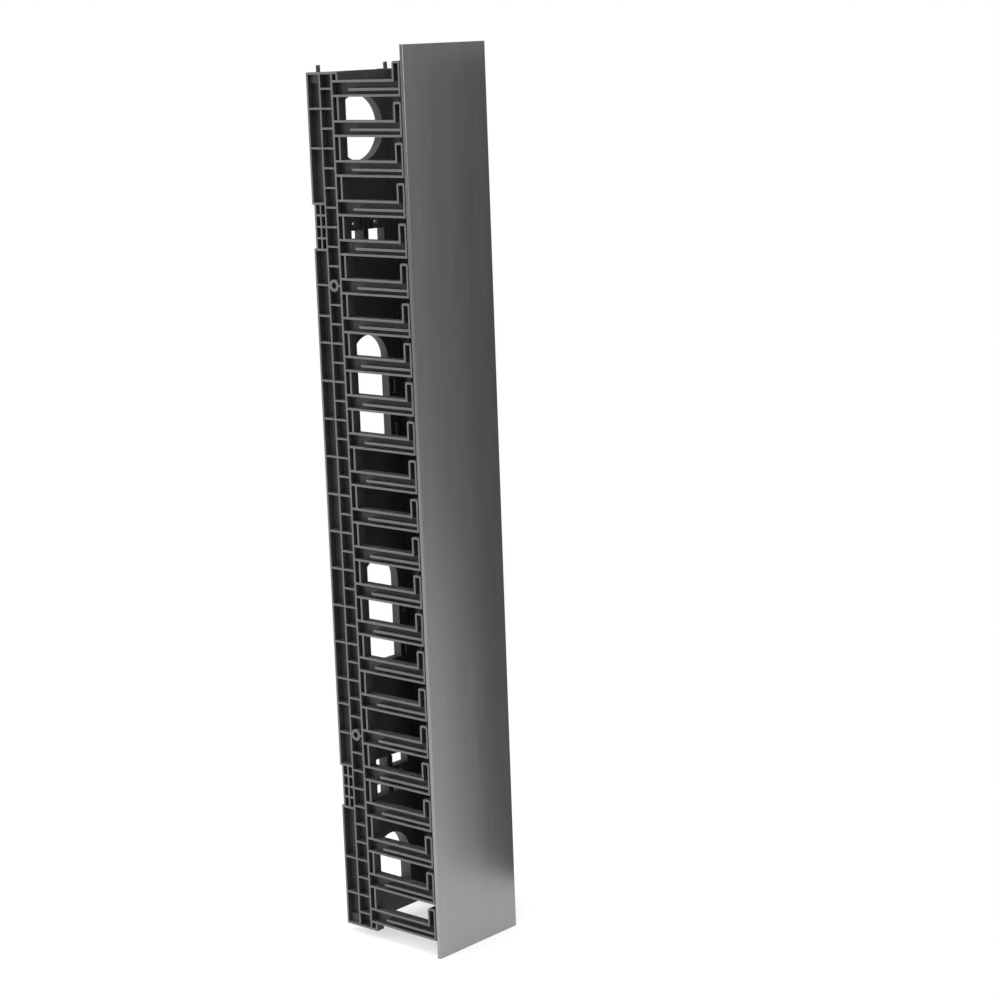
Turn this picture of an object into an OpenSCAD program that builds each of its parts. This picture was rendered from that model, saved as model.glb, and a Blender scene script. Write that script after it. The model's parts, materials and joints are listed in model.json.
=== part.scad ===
// Vertical cable manager for a rack: an open duct with fingered side walls, a
// pierced back panel and a cover that swings open to either side.
// Millimetres. +Z up, the cover faces -Y, the origin is at the bottom centre of
// the closed assembly.

/* [Finger pattern] */
// Number of fingers up each side wall
finger_count = 23; // [7:2:45]
// Distance from one finger to the next, one rack unit
pitch = 44.45; // [38:0.05:60]
// Height of one finger
finger_h = 18.5; // [15:0.5:24]
// Depth of a finger, from its front face to the back of the slot
finger_len = 96; // [80:1:160]
// Height of the retaining tab above the finger
tab_rise = 20; // [8:0.1:20.4]
// Depth of the retaining tab, front to back
tab_d = 11.6; // [9:0.1:20]
// Length of the finger's open pocket behind its stiffening shelf
shelf_setback = 16.5; // [10:0.5:40]
// Thickness of the stiffening shelf
shelf_t = 2.6; // [1.2:0.1:3]
// Depth of the shelf below the top of the finger
shelf_drop = 9.2; // [6:0.1:9.6]

/* [Duct] */
// Width across both side walls
duct_w = 127; // [110:0.5:220]
// Depth of the ribbed rail behind the slots
web_d = 49.7; // [44:0.1:66]
// Depth of the groove between a slot's rim and the rail's front rib
groove_d = 6.2; // [3:0.1:8]
// Height of the wall above the first finger and below the last
end_margin = 9.25; // [6:0.05:20]
// Thickness of a side wall over its ribs
wall_t = 11.5; // [9:0.1:16]
// Thickness of the web that closes the pockets
web_t = 2.4; // [1.6:0.1:3.2]
// Thickness of the rims round slots and fingers
rim_t = 2.4; // [1.6:0.1:3]
// Thickness of the ribs between pockets
rib_t = 2; // [1.2:0.1:2.8]
// Distance from the rear edge to the rib that backs the back panel
mid_rib_back = 20.9; // [16:0.1:22]

/* [Rear edge reliefs] */
// Depth of the relief in the rear edge at each mounting zone
relief_d = 3.3; // [1:0.1:5]
// Height of the relief
relief_h = 50; // [36:0.5:60]
// Fingers between the end of the wall and the relief
relief_finger = 4; // [2:1:6]

/* [Back panel] */
// Thickness of the back panel
panel_t = 3.2; // [2:0.1:5]
// Depth of the panel's side flanges
flange_d = 17; // [12:0.5:24]
// Thickness of the panel's side flanges
flange_t = 2.6; // [2:0.1:4]
// Depth of the collar behind each opening
collar_d = 8; // [2:0.5:9]
// Wall thickness of the collars
collar_t = 2.2; // [1.5:0.1:4]
// Radius of the round pass-through
round_r = 38.6; // [20:0.1:42]
// Height of the round pass-through's centre below the top of the duct
round_drop = 65; // [56:0.1:90]
// Width of the three arched pass-throughs
arch_w = 60; // [30:1:70]
// Height of the two tall arched pass-throughs
tall_h = 127.6; // [80:0.2:140]
// Fingers from the upper tall pass-through to the lower one
tall_step = 6; // [5:1:6]
// Height of the lower tall pass-through's sill above the bottom of the duct
tall_sill = 315.6; // [300:0.2:330]
// Height of the short arched pass-through near the bottom
short_h = 68; // [40:1:80]
// Depth of the short pass-through's collar
short_collar_d = 13; // [2:0.5:14]
// Height of the short pass-through's sill above the bottom of the duct
short_sill = 32.4; // [18:0.2:40]

/* [Mounting] */
// Radius of the mounting holes
mount_r = 3.3; // [2.2:0.1:5]
// Sideways distance between two mounting holes of a zone
mount_gap = 36; // [24:0.5:44]
// Radius of the thickened pad round a mounting hole
pad_r = 7.4; // [6.4:0.1:7.8]
// Distance that a pad stands out in front of the panel
pad_d = 2.5; // [1:0.5:6]
// Width of the windows above and below the mounting holes
window_w = 28.5; // [16:0.5:34]
// Height of the windows
window_h = 15; // [10:0.5:18]
// Width of the post between the windows of a pair
post_w = 9; // [7:0.5:12]
// Height of the bar that carries the mounting holes
bar_h = 16.6; // [15.8:0.1:20]

/* [Wall screws] */
// Finger, counted from each end of the wall, that carries a screw boss
boss_finger = 6; // [3:1:9]
// Outer radius of the screw boss
boss_r = 7; // [6:0.1:7.2]
// Radius of the screw head
head_r = 3.6; // [2.8:0.1:4]
// Thickness of the screw head
head_h = 2.2; // [1.8:0.1:3]
// Radius of the screw thread
screw_r = 1.75; // [1.4:0.05:2]
// Length of screw that stands out inside the duct
screw_tip = 1.2; // [0.5:0.1:3]
// Clearance round a screw
screw_play = 0.2; // [0.1:0.05:0.4]

/* [Stacking pegs] */
// Radius of a stacking peg
peg_r = 2.4; // [1.8:0.1:2.6]
// Radius of the peg's root in its socket
peg_root_r = 1.4; // [0.8:0.1:1.6]
// Height of a peg above the wall
peg_h = 8; // [4:0.5:15]
// Depth of a peg in its socket
peg_seat = 9; // [5:0.5:15]
// Clearance round the peg in the next unit's socket
peg_play = 0.2; // [0.1:0.05:0.4]

/* [Cover] */
// Width of the cover beyond each side wall
cover_lap = 4.8; // [4.6:0.1:9]
// Height of the cover above the duct
cover_above = 28.3; // [5:0.1:60]
// Height of the cover below the duct
cover_below = 9.3; // [2:0.1:30]
// Thickness of the cover sheet
cover_t = 1.6; // [1:0.1:2]
// Depth of the cover's side returns
return_d = 4; // [2.4:0.1:4.2]
// Distance from the cover's front face to the fingers
cover_gap = 10; // [9.5:0.1:16]

/* [Cover hinges] */
// Radius of a hinge rod
rod_r = 1.5; // [1:0.1:1.6]
// Clearance between a rod and its clips
rod_play = 0.05; // [0.02:0.01:0.1]
// Clearance between a rod and the hooks on the fingers
hook_play = 0.1; // [0.05:0.01:0.2]
// Distance from the cover's side to the axis of the rod
rod_in = 5; // [4.9:0.1:6]
// Distance from the cover's front face to the axis of the rod
rod_back = 4; // [3.9:0.1:4.6]
// Height of a hinge clip
clip_h = 12; // [6:0.5:18]
// Width of a hinge clip's foot
clip_foot = 16; // [10:0.5:24]
// Thickness of a hinge clip's foot
clip_t = 1.2; // [0.8:0.1:1.4]
// Number of clips on each rod
clip_count = 4; // [2:1:4]

/* [Hidden] */
$fn = 64;
eps = 0.01;

// overall sizes
duct_h = (finger_count - 1) * pitch + finger_h + 2 * end_margin;
cover_w = duct_w + 2 * cover_lap;
cover_h = cover_above + duct_h + cover_below;
depth = cover_gap + finger_len + web_d;
duct_z = cover_below;

// planes, front to back
y_cover = -depth / 2;
y_tab = y_cover + cover_gap;
y_slot = y_tab + finger_len;
y_rear = depth / 2;
y_rail = y_slot + rim_t + groove_d;
y_mid_rib = y_rear - mid_rib_back;
y_panel = y_mid_rib + rib_t;

// planes, centre outwards
x_out = duct_w / 2;
x_in = x_out - wall_t;
pocket_d = wall_t - web_t;

// hinge axes
x_rod = cover_w / 2 - rod_in;
y_rod = y_cover + rod_back;
hook_bore = rod_r + hook_play;
hook_clear = 0.3;
hook_r = rod_in - cover_t - hook_clear;
hook_mouth = 66;

// slots and fingers
slot_h = pitch - finger_h;
function finger_z(i) = duct_z + duct_h - end_margin - finger_h - i * pitch;
function slot_mid_z(i) = finger_z(i) - slot_h / 2;
duct_mid_z = duct_z + duct_h / 2;

// screw bosses and mounting zones; a screw head lies below the wall's outer face
head_sink = 2;
x_head = x_out - head_h - head_sink;
y_boss = y_mid_rib - rib_t / 2 - boss_r;
boss_fingers = [boss_finger - 1, finger_count - boss_finger];
function boss_z(i) = finger_z(i) + finger_h / 2;
relief_slots = [relief_finger - 1, finger_count - 1 - relief_finger];

// pegs stand over the outer column of pockets
peg_inner_wall = 0.4;
peg_outer_wall = 1.4;
peg_floor = 3;
x_peg = x_in + peg_r + peg_play + peg_inner_wall;
y_peg = (y_mid_rib + y_rear - rib_t) / 2;
peg_block_h = peg_seat + peg_floor;
peg_block_t = x_peg - x_in + peg_r + peg_play + peg_outer_wall;

// hinge clips lie at the heights of evenly spaced slots
cap_h = 3;
cap_wall = 0.6;
cap_seat = cap_h - 1;
cap_r = rod_r + cap_wall;
cap_gap = 0.2;
rod_z0 = finger_z(finger_count - 1) - cap_gap - cap_seat;
rod_z1 = finger_z(0) + rim_t + cap_gap + cap_seat;
rod_len = rod_z1 - rod_z0;
clip_slots = [for (k = [0 : clip_count - 1])
    round(k * (finger_count - 2) / (clip_count - 1))];

plastic = "#2b292d";
graphite = "#5c5b60";
steel = "#a9aaad";

// ---------- helpers ----------

// A rectangle given by its low and high corners
module span(y0, y1, z0, z1) {
    translate([y0, z0])
        square([y1 - y0, z1 - z0]);
}

// Turns a side view, drawn with Y to the right and Z up, into a plate of
// thickness t whose near face is at x
module side_plate(x, t) {
    translate([x, 0, 0])
        rotate([90, 0, 90])
            linear_extrude(height = t)
                children();
}

// Turns a front view, drawn with X to the right and Z up, into a plate of
// thickness t whose front face is at y
module front_plate(y, t) {
    translate([0, y + t, 0])
        rotate([90, 0, 0])
            linear_extrude(height = t)
                children();
}

// A rectangle with rounded corners, centred on the origin
module soft_rect(w, h, r) {
    square([w - 2 * r, h], center = true);
    square([w, h - 2 * r], center = true);
    for (sx = [-1, 1], sz = [-1, 1])
        translate([sx * (w / 2 - r), sz * (h / 2 - r)])
            circle(r = r);
}

// ---------- side walls ----------

// Outline of one finger with its tab, in side view
module finger_outline(z) {
    tip_r = 2.5;
    span(y_tab, y_slot, z, z + finger_h);
    span(y_tab, y_tab + tab_d, z + finger_h - eps, z + finger_h + tab_rise - tip_r);
    span(y_tab + tip_r, y_tab + tab_d - tip_r, z + finger_h, z + finger_h + tab_rise);
    for (y = [y_tab + tip_r, y_tab + tab_d - tip_r])
        translate([y, z + finger_h + tab_rise - tip_r])
            circle(r = tip_r);
}

// The recess inside one finger: an L-shaped channel that opens outwards,
// with a shelf along it
module finger_recess(z) {
    difference() {
        union() {
            span(y_tab + rim_t, y_slot + eps, z + rim_t, z + finger_h - rim_t);
            span(y_tab + rim_t, y_tab + tab_d - rim_t, z + rim_t,
                 z + finger_h + tab_rise - rim_t);
        }
        span(y_tab, y_slot - shelf_setback,
             z + finger_h - shelf_drop - shelf_t, z + finger_h - shelf_drop);
    }
}

// Ribs across the inner column: one at the middle of each finger and slot
inner_rib_z = [for (i = [0 : 2 * finger_count - 2])
    finger_z(0) + finger_h / 2 - i * pitch / 2];

// Slots whose height the outer column leaves plain: beside the reliefs and the bosses
plain_slots = [for (i = [0 : finger_count - 2])
    if (min([for (k = relief_slots) abs(i - k)]) <= 1
        || min([for (b = boss_fingers) abs(i + 0.5 - b)]) < 1) i];

// Ribs across the outer column: at most slots, at each boss, and one step
// from the boss towards the middle of the wall
boss_rib_step = 0.8 * pitch;
outer_rib_z = concat(
    [for (i = [0 : finger_count - 2]) if (len(search(i, plain_slots)) == 0) slot_mid_z(i)],
    [for (b = boss_fingers) boss_z(b)],
    [for (b = boss_fingers) boss_z(b) + sign(duct_mid_z - boss_z(b)) * boss_rib_step]);

// The rail's pockets: a groove behind the slots' rims and two columns
module rail_recess() {
    z0 = duct_z + rim_t;
    z1 = duct_z + duct_h - rim_t;
    z_top = finger_z(0) + finger_h;
    for (i = [0 : finger_count - 1])
        span(y_slot - eps, y_rail, finger_z(i) + rim_t, finger_z(i) + finger_h - rim_t);
    for (i = [0 : finger_count - 2])
        span(y_slot + rim_t, y_rail, finger_z(i) - slot_h, finger_z(i));
    span(y_slot + rim_t, y_rail, z_top, z1);
    span(y_slot + rim_t, y_rail, z0, finger_z(finger_count - 1));
    difference() {
        span(y_rail + rim_t, y_mid_rib - rib_t / 2, z0, z1);
        for (z = inner_rib_z)
            span(y_rail, y_mid_rib, z - rib_t / 2, z + rib_t / 2);
        boss_discs(boss_r);
    }
    difference() {
        span(y_mid_rib + rib_t / 2, y_rear - rim_t, z0, z1);
        for (z = outer_rib_z)
            span(y_mid_rib, y_rear, z - rib_t / 2, z + rib_t / 2);
        for (i = relief_slots)
            span(y_mid_rib, y_rear, slot_mid_z(i) - relief_h / 2 - rim_t,
                 slot_mid_z(i) + relief_h / 2 + rim_t);
    }
    for (i = relief_slots)
        relief_cells(slot_mid_z(i));
}

// The fine grid of small pockets beside a mounting zone
module relief_cells(z_mid) {
    rows = 4;
    y0 = y_mid_rib + rib_t / 2;
    y1 = y_rear - relief_d - rim_t;
    cell_w = (y1 - y0 - rib_t) / 2;
    cell_h = (relief_h - (rows - 1) * rib_t) / rows;
    for (k = [0 : rows - 1], c = [0, 1]) {
        y = y0 + c * (cell_w + rib_t);
        z = z_mid - relief_h / 2 + k * (cell_h + rib_t);
        span(y, y + cell_w, z, z + cell_h);
    }
}

module boss_discs(r) {
    for (i = boss_fingers)
        translate([y_boss, boss_z(i)])
            circle(r = r);
}

// The rail's outline, in side view
module rail_outline() {
    difference() {
        span(y_slot, y_rear, duct_z, duct_z + duct_h);
        for (i = relief_slots)
            span(y_rear - relief_d, y_rear + eps, slot_mid_z(i) - relief_h / 2,
                 slot_mid_z(i) + relief_h / 2);
    }
}

// Hook at the front of a finger: a strip that reaches forward from the
// finger's lower rim and cradles the rod from behind and from inside
module hinge_hook(z) {
    stem_w = 5;
    stem_gap = 0.6;
    stem_x = x_rod - hook_bore - stem_gap;
    translate([0, 0, z])
        linear_extrude(height = rim_t)
            difference() {
                union() {
                    translate([stem_x - stem_w, y_rod])
                        square([stem_w, y_tab - y_rod + eps]);
                    translate([x_rod, y_rod])
                        circle(r = hook_r);
                }
                translate([x_rod, y_rod])
                    circle(r = hook_bore);
                translate([x_rod - 2 * hook_r, y_rod - 2 * hook_r])
                    square([4 * hook_r, 2 * hook_r]);
                translate([x_rod, y_rod])
                    rotate(hook_mouth - 90)
                        square([2 * hook_r, 4 * hook_r], center = false);
            }
}

// The right-hand fingers: one E-shaped channel each, with a hook at its front
module fingers() {
    for (i = [0 : finger_count - 1]) {
        side_plate(x_in, web_t)
            finger_outline(finger_z(i));
        side_plate(x_in, wall_t)
            difference() {
                finger_outline(finger_z(i));
                finger_recess(finger_z(i));
            }
        hinge_hook(finger_z(i));
    }
}

// The right-hand rail that carries the fingers and the back panel
module rear_rail() {
    difference() {
        union() {
            side_plate(x_in, web_t)
                rail_outline();
            side_plate(x_in, wall_t)
                difference() {
                    rail_outline();
                    rail_recess();
                }
            side_plate(x_in, peg_block_t)
                for (z = [duct_z, duct_z + duct_h - peg_block_h])
                    span(y_mid_rib, y_rear, z, z + peg_block_h);
        }
        screw_holes();
        peg_socket(duct_z + duct_h - peg_seat, peg_root_r);
        peg_socket(duct_z - eps, peg_r + peg_play);
    }
}

module peg_socket(z, r) {
    translate([x_peg, y_peg, z])
        cylinder(r = r, h = peg_seat + eps);
}

module screw_holes() {
    for (i = boss_fingers)
        translate([0, y_boss, boss_z(i)])
            rotate([0, 90, 0]) {
                cylinder(r = screw_r + screw_play, h = x_out + eps);
                translate([0, 0, x_head])
                    cylinder(r = head_r + screw_play, h = head_h + head_sink + eps);
            }
}

module right_rear_rail() {
    color(plastic)
        rear_rail();
}

module left_rear_rail() {
    color(plastic)
        mirror([1, 0, 0])
            rear_rail();
}

module right_fingers() {
    color(plastic)
        fingers();
}

module left_fingers() {
    color(plastic)
        mirror([1, 0, 0])
            fingers();
}

// ---------- back panel ----------

round_z = duct_z + duct_h - round_drop;
tall_z = duct_z + tall_sill;

// An upright opening with a flat sill at z and a round top, grown by g
module arch_opening(z, h, g) {
    translate([-arch_w / 2 - g, z - g])
        square([arch_w + 2 * g, h - arch_w / 2 + g]);
    translate([0, z + h - arch_w / 2])
        circle(r = arch_w / 2 + g);
}

// The round and the two tall pass-throughs, grown by g
module long_pass_throughs(g) {
    translate([0, round_z])
        circle(r = round_r + g);
    for (z = [tall_z, tall_z + tall_step * pitch])
        arch_opening(z, tall_h, g);
}

module short_pass_through(g) {
    arch_opening(duct_z + short_sill, short_h, g);
}

// Four windows round the centre of each mounting zone, grown by g
module zone_windows(g) {
    corner_r = 1;
    for (i = relief_slots, s = [-1, 1], t = [-1, 1])
        translate([s * (post_w + window_w) / 2,
                   slot_mid_z(i) + t * (bar_h + window_h) / 2])
            soft_rect(window_w + 2 * g, window_h + 2 * g, corner_r + g);
}

// A loop for a cable tie on the panel's front face
module tie_loop(x, z) {
    loop_w = 4;
    loop_h = 16;
    loop_d = 4;
    leg_h = 2;
    bar_d = 1.8;
    translate([x, y_panel, z])
        difference() {
            translate([-loop_w / 2, -loop_d, -loop_h / 2])
                cube([loop_w, loop_d + eps, loop_h]);
            translate([-loop_w, bar_d - loop_d, leg_h - loop_h / 2])
                cube([2 * loop_w, loop_d - bar_d - eps, loop_h - 2 * leg_h]);
        }
}

// Tie loops stand beside the tall pass-throughs, near their middles and sills
tie_loop_side = 5;
tie_loop_rises = [62, 10];
tie_loop_x = arch_w / 2 + collar_t + tie_loop_side;
tie_loop_z = [for (z = [tall_z, tall_z + tall_step * pitch], h = tie_loop_rises) z + h];

// Centres of the mounting holes
mount_points = [for (i = relief_slots, s = [-1, 1]) [s * mount_gap / 2, slot_mid_z(i)]];

// Raised edges of the post between the windows
module zone_post(z_mid) {
    lip = 1.2;
    for (s = [-1, 1])
        translate([s * (post_w - lip) / 2 - lip / 2, y_panel - pad_d,
                   z_mid - bar_h / 2 - window_h])
            cube([lip, pad_d + eps, bar_h + 2 * window_h]);
}

// Low ribs that stiffen the panel between its openings
panel_rib_clear = 6;
panel_rib_z = [for (i = [0 : finger_count - 2])
    let (z = slot_mid_z(i))
    if (abs(z - round_z) > round_r + collar_t + panel_rib_clear
        && min([for (a = [[duct_z + short_sill, short_h], [tall_z, tall_h],
                          [tall_z + tall_step * pitch, tall_h]])
                abs(z - a[0] - a[1] / 2) - a[1] / 2]) > collar_t + panel_rib_clear
        && min([for (k = relief_slots) abs(i - k)]) > 0) z];

// Everything solid in the panel, before its openings
module panel_body() {
    front_plate(y_panel, panel_t)
        translate([-x_in, duct_z])
            square([2 * x_in, duct_h]);
    front_plate(y_panel, panel_t + collar_d) {
        long_pass_throughs(collar_t);
        zone_windows(collar_t);
    }
    front_plate(y_panel, panel_t + short_collar_d)
        short_pass_through(collar_t);
    for (s = [-1, 1])
        translate([s * (x_in - flange_t / 2), y_panel + (panel_t - flange_d) / 2, duct_mid_z])
            cube([flange_t, flange_d + panel_t, duct_h], center = true);
    for (m = mount_points)
        translate([m[0], y_panel - pad_d, m[1]])
            rotate([-90, 0, 0])
                cylinder(r = pad_r, h = pad_d + panel_t);
    for (i = relief_slots)
        zone_post(slot_mid_z(i));
    for (z = panel_rib_z)
        translate([-x_in, y_panel + panel_t - eps, z - rib_t / 2])
            cube([2 * x_in, collar_d + eps, rib_t]);
    for (s = [-1, 1], z = tie_loop_z)
        tie_loop(s * tie_loop_x, z);
}

module back_panel() {
    y_front = y_panel - pad_d - eps;
    full_d = pad_d + panel_t + short_collar_d + 2 * eps;
    color(plastic)
        difference() {
            panel_body();
            front_plate(y_front, full_d) {
                long_pass_throughs(0);
                short_pass_through(0);
            }
            front_plate(y_panel - eps, full_d)
                zone_windows(0);
            for (m = mount_points)
                translate([m[0], y_front, m[1]])
                    rotate([-90, 0, 0])
                        cylinder(r = mount_r, h = full_d);
            for (i = boss_fingers)
                translate([-x_in - eps, y_boss, boss_z(i)])
                    rotate([0, 90, 0])
                        cylinder(r = screw_r + screw_play, h = 2 * x_in + 2 * eps);
        }
}

// ---------- fasteners ----------

// Pan head screw that enters the right-hand wall from outside
module wall_screw(i) {
    x_tip = x_in - flange_t - screw_tip;
    point = 0.6;
    dome = head_h / 3;
    cross_len = 1.1 * head_r;
    cross_t = 1.1;
    cross_d = 1.6;
    color(steel)
        translate([0, y_boss, boss_z(i)])
            rotate([0, 90, 0])
                difference() {
                    rotate_extrude()
                        polygon([[0, x_tip], [screw_r - point, x_tip], [screw_r, x_tip + point],
                                 [screw_r, x_head], [head_r, x_head],
                                 [head_r, x_head + head_h - dome],
                                 [head_r - dome, x_head + head_h], [0, x_head + head_h]]);
                    for (a = [0, 90])
                        rotate(a)
                            translate([-cross_len / 2, -cross_t / 2, x_head + head_h - cross_d])
                                cube([cross_len, cross_t, cross_d + eps]);
                }
}

module right_upper_wall_screw() { wall_screw(boss_fingers[0]); }
module right_lower_wall_screw() { wall_screw(boss_fingers[1]); }
module left_upper_wall_screw() { mirror([1, 0, 0]) wall_screw(boss_fingers[0]); }
module left_lower_wall_screw() { mirror([1, 0, 0]) wall_screw(boss_fingers[1]); }

// Shouldered peg, pressed into the top of the right-hand wall
module stacking_peg() {
    bevel = 0.7;
    color(steel)
        translate([x_peg, y_peg, duct_z + duct_h])
            rotate_extrude()
                polygon([[0, -peg_seat], [peg_root_r, -peg_seat], [peg_root_r, 0],
                         [peg_r, 0], [peg_r, peg_h - bevel],
                         [peg_r - bevel, peg_h], [0, peg_h]]);
}

module right_stacking_peg() { stacking_peg(); }
module left_stacking_peg() { mirror([1, 0, 0]) stacking_peg(); }

// ---------- cover ----------

// Cross-section of the cover: a flat sheet with returned sides
module cover_section() {
    edge_r = 1.2;
    translate([-cover_w / 2 + edge_r, y_cover])
        square([cover_w - 2 * edge_r, cover_t]);
    for (s = [-1, 1]) {
        translate([s * (cover_w / 2 - cover_t / 2), y_cover + edge_r + (return_d - edge_r) / 2])
            square([cover_t, return_d - edge_r], center = true);
        translate([s * (cover_w / 2 - edge_r), y_cover + edge_r])
            circle(r = edge_r);
    }
}

module cover_panel() {
    color(graphite)
        linear_extrude(height = cover_h)
            cover_section();
}

// ---------- cover hinges ----------

module hinge_rod() {
    bevel = 0.3;
    color(steel)
        translate([x_rod, y_rod, rod_z0])
            rotate_extrude()
                polygon([[0, 0], [rod_r - bevel, 0], [rod_r, bevel],
                         [rod_r, rod_len - bevel], [rod_r - bevel, rod_len], [0, rod_len]]);
}

module right_hinge_rod() { hinge_rod(); }
module left_hinge_rod() { mirror([1, 0, 0]) hinge_rod(); }

// Push-on cap, drawn upwards from the foot of its skirt
module rod_cap() {
    edge = 0.4;
    rotate_extrude()
        polygon([[rod_r, 0], [cap_r, 0], [cap_r, cap_h - edge], [cap_r - edge, cap_h],
                 [0, cap_h], [0, cap_seat], [rod_r, cap_seat]]);
}

// A cap on each end of the right-hand rod, just clear of the last hooks
module rod_caps() {
    color(plastic) {
        translate([x_rod, y_rod, rod_z1 - cap_seat])
            rod_cap();
        translate([x_rod, y_rod, rod_z0 + cap_seat])
            mirror([0, 0, 1])
                rod_cap();
    }
}

module right_rod_caps() { rod_caps(); }
module left_rod_caps() { mirror([1, 0, 0]) rod_caps(); }

// Clip k, bonded inside the cover, that carries the right-hand rod
module hinge_clip(k) {
    barrel_r = rod_back - cover_t;
    color(plastic)
        translate([0, 0, slot_mid_z(clip_slots[k]) - clip_h / 2])
            linear_extrude(height = clip_h)
                difference() {
                    union() {
                        translate([x_rod, y_rod])
                            circle(r = barrel_r);
                        translate([x_rod - clip_foot, y_cover + cover_t])
                            square([clip_foot, clip_t]);
                        translate([x_rod - barrel_r, y_cover + cover_t])
                            square([2 * barrel_r, rod_back - cover_t]);
                    }
                    translate([x_rod, y_rod])
                        circle(r = rod_r + rod_play);
                }
}

module right_top_hinge_clip() { hinge_clip(0); }
module right_upper_hinge_clip() { hinge_clip(1); }
module right_lower_hinge_clip() { hinge_clip(2); }
module right_bottom_hinge_clip() { hinge_clip(3); }
module left_top_hinge_clip() { mirror([1, 0, 0]) hinge_clip(0); }
module left_upper_hinge_clip() { mirror([1, 0, 0]) hinge_clip(1); }
module left_lower_hinge_clip() { mirror([1, 0, 0]) hinge_clip(2); }
module left_bottom_hinge_clip() { mirror([1, 0, 0]) hinge_clip(3); }

// ---------- nodes ----------

back_panel();
left_rear_rail();
right_rear_rail();
left_fingers();
right_fingers();
left_stacking_peg();
right_stacking_peg();
left_upper_wall_screw();
left_lower_wall_screw();
right_upper_wall_screw();
right_lower_wall_screw();
cover_panel();
left_hinge_rod();
right_hinge_rod();
left_rod_caps();
right_rod_caps();
left_top_hinge_clip();
left_upper_hinge_clip();
left_lower_hinge_clip();
left_bottom_hinge_clip();
right_top_hinge_clip();
right_upper_hinge_clip();
right_lower_hinge_clip();
right_bottom_hinge_clip();
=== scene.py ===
"""Looks of the vertical cable manager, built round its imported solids.

The duct's mouldings, the cover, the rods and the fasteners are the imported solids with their
edges eased and their finishes put on. Lengths are in metres, +Z is up and the cover faces -Y.
"""

import json
import logging
import math
from dataclasses import dataclass
from enum import Enum

import bmesh
import bpy
from mathutils import Matrix, Vector


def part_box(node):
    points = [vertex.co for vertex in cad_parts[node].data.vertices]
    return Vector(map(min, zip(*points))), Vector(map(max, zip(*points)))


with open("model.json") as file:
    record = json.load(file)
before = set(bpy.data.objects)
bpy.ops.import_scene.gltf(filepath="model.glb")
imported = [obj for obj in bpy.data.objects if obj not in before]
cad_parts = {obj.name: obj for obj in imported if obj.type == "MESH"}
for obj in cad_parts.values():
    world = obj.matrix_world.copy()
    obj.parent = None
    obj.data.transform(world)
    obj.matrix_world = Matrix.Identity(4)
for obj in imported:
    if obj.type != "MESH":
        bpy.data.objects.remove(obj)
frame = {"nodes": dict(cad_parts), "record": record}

log = logging.getLogger("cable_manager")
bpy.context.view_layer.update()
# The compass angle that the camera looks along, from +Y towards +X
VIEW_YAW = math.radians(48.562)


class Slot(Enum):
    """The record's material slots."""

    WALL = "wall_plastic"
    PANEL = "panel_plastic"
    CLIP = "clip_plastic"
    PEG = "peg_plastic"
    ROD = "rod_steel"
    SCREW = "screw_steel"
    COVER = "cover_finish"


# ---------- shader trees ----------


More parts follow.
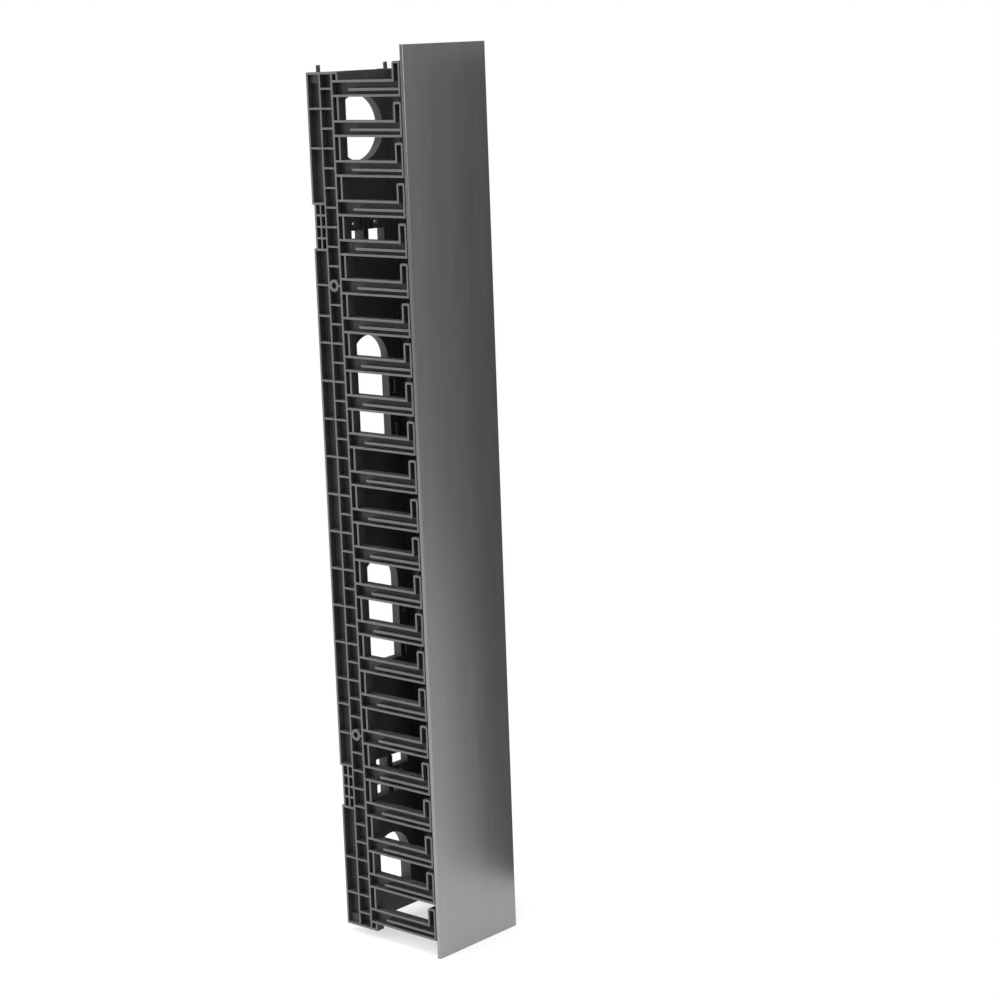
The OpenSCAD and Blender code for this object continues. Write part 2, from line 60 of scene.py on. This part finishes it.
class ShaderTree:
    """A thin wrapper that adds nodes to a node tree and links them."""

    # The Mix node's sockets for colours, which share their names with those for numbers
    first_colour = 6
    second_colour = 7
    mixed_colour = 2

    def __init__(self, tree: bpy.types.NodeTree) -> None:
        """Keeps the tree.

        Args:
            tree: The node tree to add to.
        """
        self.tree = tree

    def add(self, kind: str, **settings: object) -> bpy.types.Node:
        """Adds a node.

        Args:
            kind: The node's type name.
            **settings: Attributes to set, or inputs by name with spaces as underscores.

        Returns:
            The new node.
        """
        node = self.tree.nodes.new(kind)
        for key, value in settings.items():
            if hasattr(node, key):
                setattr(node, key, value)
            else:
                node.inputs[key.replace("_", " ")].default_value = value
        return node

    def link(self, source: bpy.types.NodeSocket, target: bpy.types.NodeSocket) -> None:
        """Links one output to one input."""
        self.tree.links.new(source, target)

    def noise(self, vector: bpy.types.NodeSocket, scale: float, detail: float = 2.0,
              stretch: tuple[float, float, float] = (1.0, 1.0, 1.0)) -> bpy.types.NodeSocket:
        """Adds a noise pattern, stretched along the axes.

        Args:
            vector: Where to read the pattern.
            scale: Features per metre.
            detail: Octaves of finer noise.
            stretch: Factor on each axis of the coordinates.

        Returns:
            The noise's value, from 0 to 1.
        """
        mapping = self.add("ShaderNodeMapping")
        mapping.inputs["Scale"].default_value = stretch
        self.link(vector, mapping.inputs["Vector"])
        noise = self.add("ShaderNodeTexNoise", Scale=scale, Detail=detail)
        self.link(mapping.outputs["Vector"], noise.inputs["Vector"])
        return noise.outputs["Fac"]

    def remap(self, value: bpy.types.NodeSocket, low: float, high: float,
              to_low: float = 0.0, to_high: float = 1.0) -> bpy.types.NodeSocket:
        """Stretches a value from one range to another and clamps it.

        Args:
            value: The value to remap.
            low: The input that becomes to_low.
            high: The input that becomes to_high.
            to_low: The lowest result.
            to_high: The highest result.

        Returns:
            The remapped value.
        """
        node = self.add("ShaderNodeMapRange")
        for name, number in (("From Min", low), ("From Max", high),
                             ("To Min", to_low), ("To Max", to_high)):
            node.inputs[name].default_value = number
        self.link(value, node.inputs["Value"])
        return node.outputs["Result"]

    def math(self, operation: str, first: bpy.types.NodeSocket,
             second: bpy.types.NodeSocket | float) -> bpy.types.NodeSocket:
        """Joins two values by arithmetic.

        Args:
            operation: The operation's name.
            first: The first value.
            second: The second value, a socket or a number.

        Returns:
            The result.
        """
        node = self.add("ShaderNodeMath", operation=operation)
        self.link(first, node.inputs[0])
        if isinstance(second, bpy.types.NodeSocket):
            self.link(second, node.inputs[1])
        else:
            node.inputs[1].default_value = second
        return node.outputs[0]

    def mix_colour(self, factor: bpy.types.NodeSocket,
                   first: bpy.types.NodeSocket | tuple[float, float, float],
                   second: tuple[float, float, float]) -> bpy.types.NodeSocket:
        """Blends two colours.

        Args:
            factor: How much of the second colour shows.
            first: The first colour, or a socket that gives it.
            second: The second colour.

        Returns:
            The blended colour.
        """
        node = self.add("ShaderNodeMix", data_type="RGBA")
        self.link(factor, node.inputs["Factor"])
        if isinstance(first, bpy.types.NodeSocket):
            self.link(first, node.inputs[self.first_colour])
        else:
            node.inputs[self.first_colour].default_value = (*first, 1.0)
        node.inputs[self.second_colour].default_value = (*second, 1.0)
        return node.outputs[self.mixed_colour]


class EffectGroup:
    """An effect shared by several finishes, as a node group that is built once."""

    name = "effect"
    inputs: tuple[tuple[str, float], ...] = ()
    outputs: tuple[str, ...] = ()

    def tree(self) -> bpy.types.NodeTree:
        """Gives the group's node tree, and builds it the first time."""
        found = bpy.data.node_groups.get(self.name)
        if found is not None:
            return found
        made = bpy.data.node_groups.new(self.name, "ShaderNodeTree")
        for label, value in self.inputs:
            socket = made.interface.new_socket(label, in_out="INPUT", socket_type="NodeSocketFloat")
            socket.default_value = value
        for label in self.outputs:
            made.interface.new_socket(label, in_out="OUTPUT", socket_type="NodeSocketFloat")
        shader = ShaderTree(made)
        self.fill(shader, shader.add("NodeGroupInput"), shader.add("NodeGroupOutput"))
        return made

    def fill(self, shader: ShaderTree, entry: bpy.types.Node, leave: bpy.types.Node) -> None:
        """Adds the group's nodes between its entry and leave nodes."""
        raise NotImplementedError

    def place(self, shader: ShaderTree, **values: float) -> bpy.types.Node:
        """Places the group in a material with its own values.

        Args:
            shader: The material's tree.
            **values: Input values by name.

        Returns:
            The group node.
        """
        node = shader.add("ShaderNodeGroup", node_tree=self.tree())
        for label, value in values.items():
            node.inputs[label].default_value = value
        return node


class MouldGrain(EffectGroup):
    """Fine spark-eroded grain with broad flow marks, as on moulded plastic."""

    name = "mould_grain"
    inputs = (("Scale", 1400.0), ("Depth", 1.0))
    outputs = ("Height", "Mottle")
    flow_scale = 26.0
    flow_stretch = (1.0, 1.0, 0.35)

    def fill(self, shader: ShaderTree, entry: bpy.types.Node, leave: bpy.types.Node) -> None:
        """Mixes fine grain into Height and broad flow marks into Mottle."""
        place = shader.add("ShaderNodeTexCoord").outputs["Object"]
        fine = shader.add("ShaderNodeTexNoise", Detail=2.0, Roughness=0.6)
        shader.link(place, fine.inputs["Vector"])
        shader.link(entry.outputs["Scale"], fine.inputs["Scale"])
        broad = shader.noise(place, self.flow_scale, 3.0, self.flow_stretch)
        height = shader.math("MULTIPLY", fine.outputs["Fac"], entry.outputs["Depth"])
        shader.link(height, leave.inputs["Height"])
        shader.link(shader.remap(broad, 0.35, 0.65), leave.inputs["Mottle"])


class EdgeWear(EffectGroup):
    """Edges rubbed by handling: a broken band along every corner."""

    name = "edge_wear"
    inputs = (("Radius", 0.0006), ("Break", 90.0))
    outputs = ("Mask",)
    flat_cosine = 0.995
    corner_cosine = 0.80
    least_wear = 0.35

    def fill(self, shader: ShaderTree, entry: bpy.types.Node, leave: bpy.types.Node) -> None:
        """Finds corners where the eased normal leaves the true one, and breaks the band up."""
        eased = shader.add("ShaderNodeBevel", samples=4)
        shader.link(entry.outputs["Radius"], eased.inputs["Radius"])
        true = shader.add("ShaderNodeNewGeometry")
        dot = shader.add("ShaderNodeVectorMath", operation="DOT_PRODUCT")
        shader.link(eased.outputs["Normal"], dot.inputs[0])
        shader.link(true.outputs["Normal"], dot.inputs[1])
        band = shader.remap(dot.outputs["Value"], self.flat_cosine, self.corner_cosine)
        rub = shader.add("ShaderNodeTexNoise", Detail=3.0)
        shader.link(shader.add("ShaderNodeTexCoord").outputs["Object"], rub.inputs["Vector"])
        shader.link(entry.outputs["Break"], rub.inputs["Scale"])
        broken = shader.remap(rub.outputs["Fac"], 0.38, 0.58, self.least_wear, 1.0)
        shader.link(shader.math("MULTIPLY", band, broken), leave.inputs["Mask"])


class TipHighlightAndPolish(EffectGroup):
    """The outermost rib faces of a side wall, near its outer plane: a mask that lightens them as a
    painted highlight and smooths them as a polish from handling.
    """

    name = "tip_highlight_and_polish"
    inputs = (("Plane", 0.0635), ("Depth", 0.0014))
    outputs = ("Mask",)

    def fill(self, shader: ShaderTree, entry: bpy.types.Node, leave: bpy.types.Node) -> None:
        """Finds how near a point lies to the plane, on either side of the object."""
        parts = shader.add("ShaderNodeSeparateXYZ")
        shader.link(shader.add("ShaderNodeTexCoord").outputs["Object"], parts.inputs["Vector"])
        across = shader.add("ShaderNodeMath", operation="ABSOLUTE")
        shader.link(parts.outputs["X"], across.inputs[0])
        short = shader.math("SUBTRACT", entry.outputs["Plane"], across.outputs[0])
        share = shader.math("DIVIDE", short, entry.outputs["Depth"])
        shader.link(shader.remap(share, 1.0, 0.25), leave.inputs["Mask"])


class SettledDust(EffectGroup):
    """Dust that lies on faces that look up."""

    name = "settled_dust"
    inputs = (("Amount", 0.3),)
    outputs = ("Mask",)
    speckle_scale = 140.0

    def fill(self, shader: ShaderTree, entry: bpy.types.Node, leave: bpy.types.Node) -> None:
        """Multiplies how far a face looks up by a speckled pattern."""
        parts = shader.add("ShaderNodeSeparateXYZ")
        shader.link(shader.add("ShaderNodeNewGeometry").outputs["Normal"], parts.inputs["Vector"])
        upward = shader.remap(parts.outputs["Z"], 0.5, 1.0)
        place = shader.add("ShaderNodeTexCoord").outputs["Object"]
        speckle = shader.remap(shader.noise(place, self.speckle_scale, 4.0), 0.35, 0.7)
        mask = shader.math("MULTIPLY", shader.math("MULTIPLY", upward, speckle),
                           entry.outputs["Amount"])
        shader.link(mask, leave.inputs["Mask"])


# ---------- finishes ----------


@dataclass(frozen=True)
class Finish:
    """What every finish has: a name and a way to make its material."""

    name: str

    def start(self) -> tuple[bpy.types.Material, ShaderTree, bpy.types.Node]:
        """Makes an empty material.

        Returns:
            The material, its tree and its Principled shader.
        """
        material = bpy.data.materials.new(self.name)
        material.use_nodes = True
        shader = ShaderTree(material.node_tree)
        principled = material.node_tree.nodes["Principled BSDF"]
        return material, shader, principled

    def material(self) -> bpy.types.Material:
        """Makes the finish's material."""
        raise NotImplementedError


@dataclass(frozen=True)
class MouldedPlastic(Finish):
    """Black moulded plastic: spark-eroded grain, flow marks, rubbed edges, a little dust, and a
    painted highlight on the outermost rib faces.
    """

    colour: tuple[float, float, float] = (0.026, 0.0248, 0.0280)
    flow: tuple[float, float, float] = (0.033, 0.0315, 0.0352)
    rubbed: tuple[float, float, float] = (0.20, 0.195, 0.205)
    # Painted highlight: the lighter colour of the outermost rib faces, standing in for light caught
    # there.
    painted_tip_highlight: tuple[float, float, float] = (0.185, 0.181, 0.190)
    roughness: float = 0.55
    tip_roughness: float = 0.38
    tip_plane: float = 1.0
    tip_depth: float = 0.0014
    mottle_smoother: float = 0.04
    mottle_rougher: float = 0.05
    grain: float = 0.00003
    grain_scale: float = 1400.0
    grain_strength: float = 0.5
    wear: float = 0.0006
    wear_break: float = 90.0
    dust: float = 0.16
    dust_colour: tuple[float, float, float] = (0.30, 0.29, 0.28)
    dust_roughness: float = 0.3

    def material(self) -> bpy.types.Material:
        """Makes the material."""
        material, shader, principled = self.start()
        grain = MouldGrain().place(shader, Scale=self.grain_scale, Depth=1.0)
        wear = EdgeWear().place(shader, Radius=self.wear, Break=self.wear_break)
        dust = SettledDust().place(shader, Amount=self.dust)
        tips = TipHighlightAndPolish().place(shader, Plane=self.tip_plane, Depth=self.tip_depth)
        colour = shader.mix_colour(grain.outputs["Mottle"], self.colour, self.flow)
        # Painted highlight: lightens the outermost rib faces.
        tip_highlighted = shader.mix_colour(tips.outputs["Mask"], colour, self.painted_tip_highlight)
        worn = shader.mix_colour(wear.outputs["Mask"], tip_highlighted, self.rubbed)
        dusty = shader.mix_colour(dust.outputs["Mask"], worn, self.dust_colour)
        shader.link(dusty, principled.inputs["Base Color"])
        matt = shader.remap(grain.outputs["Mottle"], 0.0, 1.0,
                            self.roughness - self.mottle_smoother,
                            self.roughness + self.mottle_rougher)
        smooth = shader.math("MULTIPLY", tips.outputs["Mask"], self.tip_roughness - self.roughness)
        rough = shader.math("ADD", matt, smooth)
        powder = shader.math("MULTIPLY", dust.outputs["Mask"], self.dust_roughness)
        shader.link(shader.math("ADD", rough, powder), principled.inputs["Roughness"])
        principled.inputs["Specular IOR Level"].default_value = 0.5
        bump = shader.add("ShaderNodeBump", Strength=self.grain_strength, Distance=self.grain)
        shader.link(grain.outputs["Height"], bump.inputs["Height"])
        shader.link(bump.outputs["Normal"], principled.inputs["Normal"])
        return material


@dataclass(frozen=True)
class SatinCoverFinish(Finish):
    """Graphite satin coat over metal, with faint streaks along the cover's length."""

    colour: tuple[float, float, float] = (0.290, 0.287, 0.298)
    streak: tuple[float, float, float] = (0.345, 0.342, 0.353)
    bare: tuple[float, float, float] = (0.34, 0.34, 0.35)
    roughness: float = 0.30
    streak_roughness: float = 0.08
    metal: float = 0.9
    fine_scale: float = 900.0
    fine_stretch: tuple[float, float, float] = (1.0, 1.0, 0.012)
    broad_scale: float = 42.0
    broad_stretch: tuple[float, float, float] = (1.0, 1.0, 0.06)
    streak_depth: float = 0.00002
    streak_strength: float = 0.25
    wear: float = 0.0005
    wear_break: float = 60.0
    dust: float = 0.1
    dust_colour: tuple[float, float, float] = (0.4, 0.39, 0.38)

    def material(self) -> bpy.types.Material:
        """Makes the material."""
        material, shader, principled = self.start()
        place = shader.add("ShaderNodeTexCoord").outputs["Object"]
        fine = shader.noise(place, self.fine_scale, 2.0, self.fine_stretch)
        broad = shader.noise(place, self.broad_scale, 2.0, self.broad_stretch)
        streaks = shader.math("MULTIPLY", shader.remap(fine, 0.3, 0.7),
                              shader.remap(broad, 0.3, 0.7, 0.35, 1.0))
        wear = EdgeWear().place(shader, Radius=self.wear, Break=self.wear_break)
        dust = SettledDust().place(shader, Amount=self.dust)
        colour = shader.mix_colour(streaks, self.colour, self.streak)
        worn = shader.mix_colour(wear.outputs["Mask"], colour, self.bare)
        shader.link(shader.mix_colour(dust.outputs["Mask"], worn, self.dust_colour),
                    principled.inputs["Base Color"])
        rough = shader.remap(streaks, 0.0, 1.0, self.roughness,
                             self.roughness + self.streak_roughness)
        shader.link(rough, principled.inputs["Roughness"])
        principled.inputs["Metallic"].default_value = self.metal
        bump = shader.add("ShaderNodeBump", Strength=self.streak_strength,
                          Distance=self.streak_depth)
        shader.link(streaks, bump.inputs["Height"])
        shader.link(bump.outputs["Normal"], principled.inputs["Normal"])
        return material


@dataclass(frozen=True)
class BlackenedSteel(Finish):
    """Dark steel with a thin oil-black film that thins along the edges."""

    colour: tuple[float, float, float] = (0.05, 0.05, 0.055)
    bright: tuple[float, float, float] = (0.32, 0.32, 0.33)
    roughness: float = 0.32
    patch_scale: float = 220.0
    patch_share: float = 0.12
    patch_smoother: float = 0.05
    patch_rougher: float = 0.1
    wear: float = 0.0003
    wear_break: float = 160.0

    def material(self) -> bpy.types.Material:
        """Makes the material."""
        material, shader, principled = self.start()
        place = shader.add("ShaderNodeTexCoord").outputs["Object"]
        patches = shader.remap(shader.noise(place, self.patch_scale, 3.0), 0.4, 0.7)
        wear = EdgeWear().place(shader, Radius=self.wear, Break=self.wear_break)
        thin = shader.math("MULTIPLY", patches, self.patch_share)
        mask = shader.math("MAXIMUM", wear.outputs["Mask"], thin)
        shader.link(shader.mix_colour(mask, self.colour, self.bright),
                    principled.inputs["Base Color"])
        rough = shader.remap(patches, 0.0, 1.0, self.roughness - self.patch_smoother,
                             self.roughness + self.patch_rougher)
        shader.link(rough, principled.inputs["Roughness"])
        principled.inputs["Metallic"].default_value = 1.0
        return material


class Finishes:
    """The object's finishes, made once each."""

    def __init__(self) -> None:
        """Makes every material."""
        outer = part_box("right_fingers")[1].x
        # The walls' outer plane places the painted highlight on their rib faces.
        wall = MouldedPlastic("wall_black_plastic", tip_plane=outer).material()
        panel = MouldedPlastic("panel_black_plastic", roughness=0.5).material()
        small = MouldedPlastic("small_black_plastic", roughness=0.4, wear=0.0003).material()
        steel = BlackenedSteel("blackened_steel").material()
        self.by_slot = {
            Slot.WALL: wall,
            Slot.PANEL: panel,
            Slot.CLIP: small,
            Slot.PEG: small,
            Slot.ROD: steel,
            Slot.SCREW: steel,
            Slot.COVER: SatinCoverFinish("graphite_satin_cover").material(),
        }

    def dress(self, piece: bpy.types.Object, slot: Slot) -> None:
        """Puts a slot's material on a piece.

        Args:
            piece: The object to dress.
            slot: The record's slot.
        """
        piece.data.materials.clear()
        piece.data.materials.append(self.by_slot[slot])


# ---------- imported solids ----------


@dataclass
class EasedSolids:
    """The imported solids, with corners eased by a small radius."""

    weld: float = 0.00001
    wall_radius: float = 0.0007
    panel_radius: float = 0.0005
    cover_radius: float = 0.0005
    small_radius: float = 0.0002
    segments: int = 3
    least_angle: float = math.radians(35)

    def radius(self, node: str) -> float:
        """Gives the easing radius of a node's corners."""
        if node.endswith(("rear_rail", "fingers")):
            return self.wall_radius
        if node == "back_panel":
            return self.panel_radius
        if node == "cover_panel":
            return self.cover_radius
        return self.small_radius

    def ease(self, piece: bpy.types.Object, radius: float) -> None:
        """Adds the modifiers that join a solid's triangles and ease its corners.

        Args:
            piece: The solid's object.
            radius: The radius of the eased corners.
        """
        weld = piece.modifiers.new("weld", "WELD")
        weld.merge_threshold = self.weld
        bevel = piece.modifiers.new("ease", "BEVEL")
        bevel.width = radius
        bevel.segments = self.segments
        bevel.limit_method = "ANGLE"
        bevel.angle_limit = self.least_angle
        bevel.use_clamp_overlap = True
        bevel.miter_outer = "MITER_SHARP"

    def build(self, finishes: Finishes) -> None:
        """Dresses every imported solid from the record's slots.

        Args:
            finishes: The materials.
        """
        for entry in frame["record"]["subparts"]:
            piece = frame["nodes"][entry["node"]]
            finishes.dress(piece, Slot(entry["material_slot"]))
            self.ease(piece, self.radius(entry["node"]))
            log.info("dressed %s", entry["node"])


# ---------- stage ----------


@dataclass(frozen=True)
class Lamp:
    """A soft rectangular lamp."""

    name: str
    place: Vector
    aim: Vector
    size: float
    power: float
    mirrored: bool = True

    def build(self) -> None:
        """Adds the lamp, hidden from the camera and, where not mirrored, from reflections."""
        data = bpy.data.lights.new(self.name, "AREA")
        data.shape = "RECTANGLE"
        data.size = self.size
        data.size_y = self.size
        data.energy = self.power
        piece = bpy.data.objects.new(self.name, data)
        piece.location = self.place
        piece.rotation_euler = (self.aim - self.place).to_track_quat("-Z", "Y").to_euler()
        piece.visible_camera = False
        piece.visible_glossy = self.mirrored
        bpy.context.scene.collection.objects.link(piece)


@dataclass
class Studio:
    """Pale floor, white surroundings and soft lamps round the object."""

    floor_left: float = 3.0
    floor_right: float = 2.2
    floor_back: float = 2.2
    floor_front: float = 2.4
    floor_z: float = -0.0002
    floor_white: float = 0.86
    flag_x: float = 0.15
    flag_front: float = -0.24
    flag_back: float = -0.085
    flag_foot: float = 0.02
    flag_top: float = 1.04
    flag_grey: float = 0.03
    world_strength: float = 0.30
    fill_gain: float = 0.50
    near_glow: float = 0.6
    glow_near: float = 0.18
    glow_far: float = 0.75
    lamp_aim: float = 0.45

    def plane(self, name: str, corners: list[Vector],
              material: bpy.types.Material) -> bpy.types.Object:
        """Adds one flat four-cornered stage piece.

        Args:
            name: The object's name.
            corners: Its corners in order.
            material: Its material.

        Returns:
            The piece.
        """
        mesh = bpy.data.meshes.new(name)
        shape = bmesh.new()
        shape.faces.new([shape.verts.new(corner) for corner in corners])
        shape.to_mesh(mesh)
        shape.free()
        mesh.materials.append(material)
        piece = bpy.data.objects.new(name, mesh)
        bpy.context.scene.collection.objects.link(piece)
        return piece

    def shown_rays(self, shader: ShaderTree) -> bpy.types.NodeSocket:
        """Gives 1 for camera, glossy and transmission rays, and 0 for the rest."""
        path = shader.add("ShaderNodeLightPath")
        either = shader.math("MAXIMUM", path.outputs["Is Camera Ray"], path.outputs["Is Glossy Ray"])
        return shader.math("MAXIMUM", either, path.outputs["Is Transmission Ray"])

    def white_ground(self) -> bpy.types.Material:
        """Makes the floor's white, which glows to the rays that show it.

        Beside the object near_glow of it is plain white, and the rest takes light and
        shadow. Far off all of it is plain white.

        Returns:
            The material.
        """
        material = bpy.data.materials.new("floor_white")
        material.use_nodes = True
        shader = ShaderTree(material.node_tree)
        material.node_tree.nodes.clear()
        reach = shader.add("ShaderNodeVectorMath", operation="LENGTH")
        shader.link(shader.add("ShaderNodeTexCoord").outputs["Object"], reach.inputs[0])
        glow = shader.remap(reach.outputs["Value"], self.glow_near, self.glow_far,
                            self.near_glow, 1.0)
        matt = shader.add("ShaderNodeBsdfDiffuse", Color=(*[self.floor_white] * 3, 1.0))
        white = shader.add("ShaderNodeEmission", Color=(1.0, 1.0, 1.0, 1.0), Strength=1.0)
        mix = shader.add("ShaderNodeMixShader")
        shader.link(shader.math("MULTIPLY", self.shown_rays(shader), glow), mix.inputs[0])
        shader.link(matt.outputs[0], mix.inputs[1])
        shader.link(white.outputs[0], mix.inputs[2])
        shader.link(mix.outputs[0], shader.add("ShaderNodeOutputMaterial").inputs["Surface"])
        return material

    def turn(self, right: float, away: float, up: float) -> Vector:
        """Turns a place given from the viewer's side into the object's frame.

        Args:
            right: Metres to the viewer's right.
            away: Metres away from the viewer.
            up: Metres up.

        Returns:
            The place.
        """
        side = Vector((math.cos(VIEW_YAW), -math.sin(VIEW_YAW), 0.0))
        ahead = Vector((math.sin(VIEW_YAW), math.cos(VIEW_YAW), 0.0))
        return side * right + ahead * away + Vector((0.0, 0.0, up))

    def floor(self) -> None:
        """Adds the floor, square to the viewer."""
        corners = [self.turn(right, away, self.floor_z) for right, away in (
            (-self.floor_left, -self.floor_front), (self.floor_right, -self.floor_front),
            (self.floor_right, self.floor_back), (-self.floor_left, self.floor_back))]
        self.plane("floor", corners, self.white_ground())

    def world(self) -> None:
        """Adds the world's light: plain white to the camera, dimmer in reflections."""
        world = bpy.data.worlds.new("studio")
        bpy.context.scene.world = world
        world.use_nodes = True
        background = world.node_tree.nodes["Background"]
        background.inputs["Color"].default_value = (1.0, 1.0, 1.0, 1.0)
        shader = ShaderTree(world.node_tree)
        path = shader.add("ShaderNodeLightPath")
        fill = shader.math("MULTIPLY", path.outputs["Is Diffuse Ray"], self.fill_gain)
        white = shader.math("MULTIPLY", path.outputs["Is Camera Ray"], 1.0 - self.world_strength)
        shader.link(shader.math("ADD", shader.math("ADD", fill, white), self.world_strength),
                    background.inputs["Strength"])

    def flag(self) -> None:
        """Adds a dark panel beside the cover, which only reflections show."""
        dark = bpy.data.materials.new("flag_black")
        dark.use_nodes = True
        principled = dark.node_tree.nodes["Principled BSDF"]
        principled.inputs["Base Color"].default_value = (*[self.flag_grey] * 3, 1.0)
        corners = [Vector((self.flag_x, y, z)) for y, z in (
            (self.flag_front, self.flag_foot), (self.flag_back, self.flag_foot),
            (self.flag_back, self.flag_top), (self.flag_front, self.flag_top))]
        panel = self.plane("flag", corners, dark)
        panel.visible_camera = False
        panel.visible_diffuse = False
        panel.visible_shadow = False

    def lamps(self) -> None:
        """Adds one lamp behind the left side, one overhead and one in front."""
        middle = Vector((0.0, 0.0, self.lamp_aim))
        high = Vector((0.0, 0.0, 2 * self.lamp_aim))
        Lamp("left_softbox", Vector((-1.15, 1.1, 0.75)), middle, 1.5, 34.0, False).build()
        Lamp("top_softbox", Vector((-0.3, -0.2, 2.4)), middle, 1.8, 42.0).build()
        Lamp("front_softbox", self.turn(1.6, -1.2, 1.7), high, 0.9, 14.0).build()

    def build(self) -> None:
        """Adds the floor, the world's light, the flag and the lamps."""
        self.floor()
        self.world()
        self.flag()
        self.lamps()


@dataclass
class ViewCamera:
    """The camera, at eye height to the left of the cover."""

    place: tuple[float, float, float] = (-2.04486, -1.94136, 1.07285)
    yaw: float = VIEW_YAW
    pitch: float = math.radians(11.018)
    roll: float = math.radians(-2.059)
    lens: float = 88.38
    sensor: float = 36.0
    reach: float = 50.0

    def build(self) -> None:
        """Adds the camera and makes it the scene's."""
        ahead = Vector((math.sin(self.yaw) * math.cos(self.pitch),
                        math.cos(self.yaw) * math.cos(self.pitch), -math.sin(self.pitch)))
        level = Vector((math.cos(self.yaw), -math.sin(self.yaw), 0.0))
        upward = level.cross(ahead)
        right = level * math.cos(self.roll) + upward * math.sin(self.roll)
        up = upward * math.cos(self.roll) - level * math.sin(self.roll)
        data = bpy.data.cameras.new("camera")
        data.lens = self.lens
        data.sensor_width = self.sensor
        data.clip_end = self.reach
        camera = bpy.data.objects.new("camera", data)
        turn = Matrix((right, up, -ahead)).transposed()
        camera.matrix_world = Matrix.Translation(Vector(self.place)) @ turn.to_4x4()
        bpy.context.scene.collection.objects.link(camera)
        bpy.context.scene.camera = camera


def main() -> None:
    """Builds the stage and dresses the object."""
    logging.basicConfig(level=logging.INFO, format="%(name)s: %(message)s")
    bpy.context.scene.view_settings.view_transform = "Standard"
    ViewCamera().build()
    Studio().build()
    finishes = Finishes()
    EasedSolids().build(finishes)


if __name__ == "__main__":
    main()
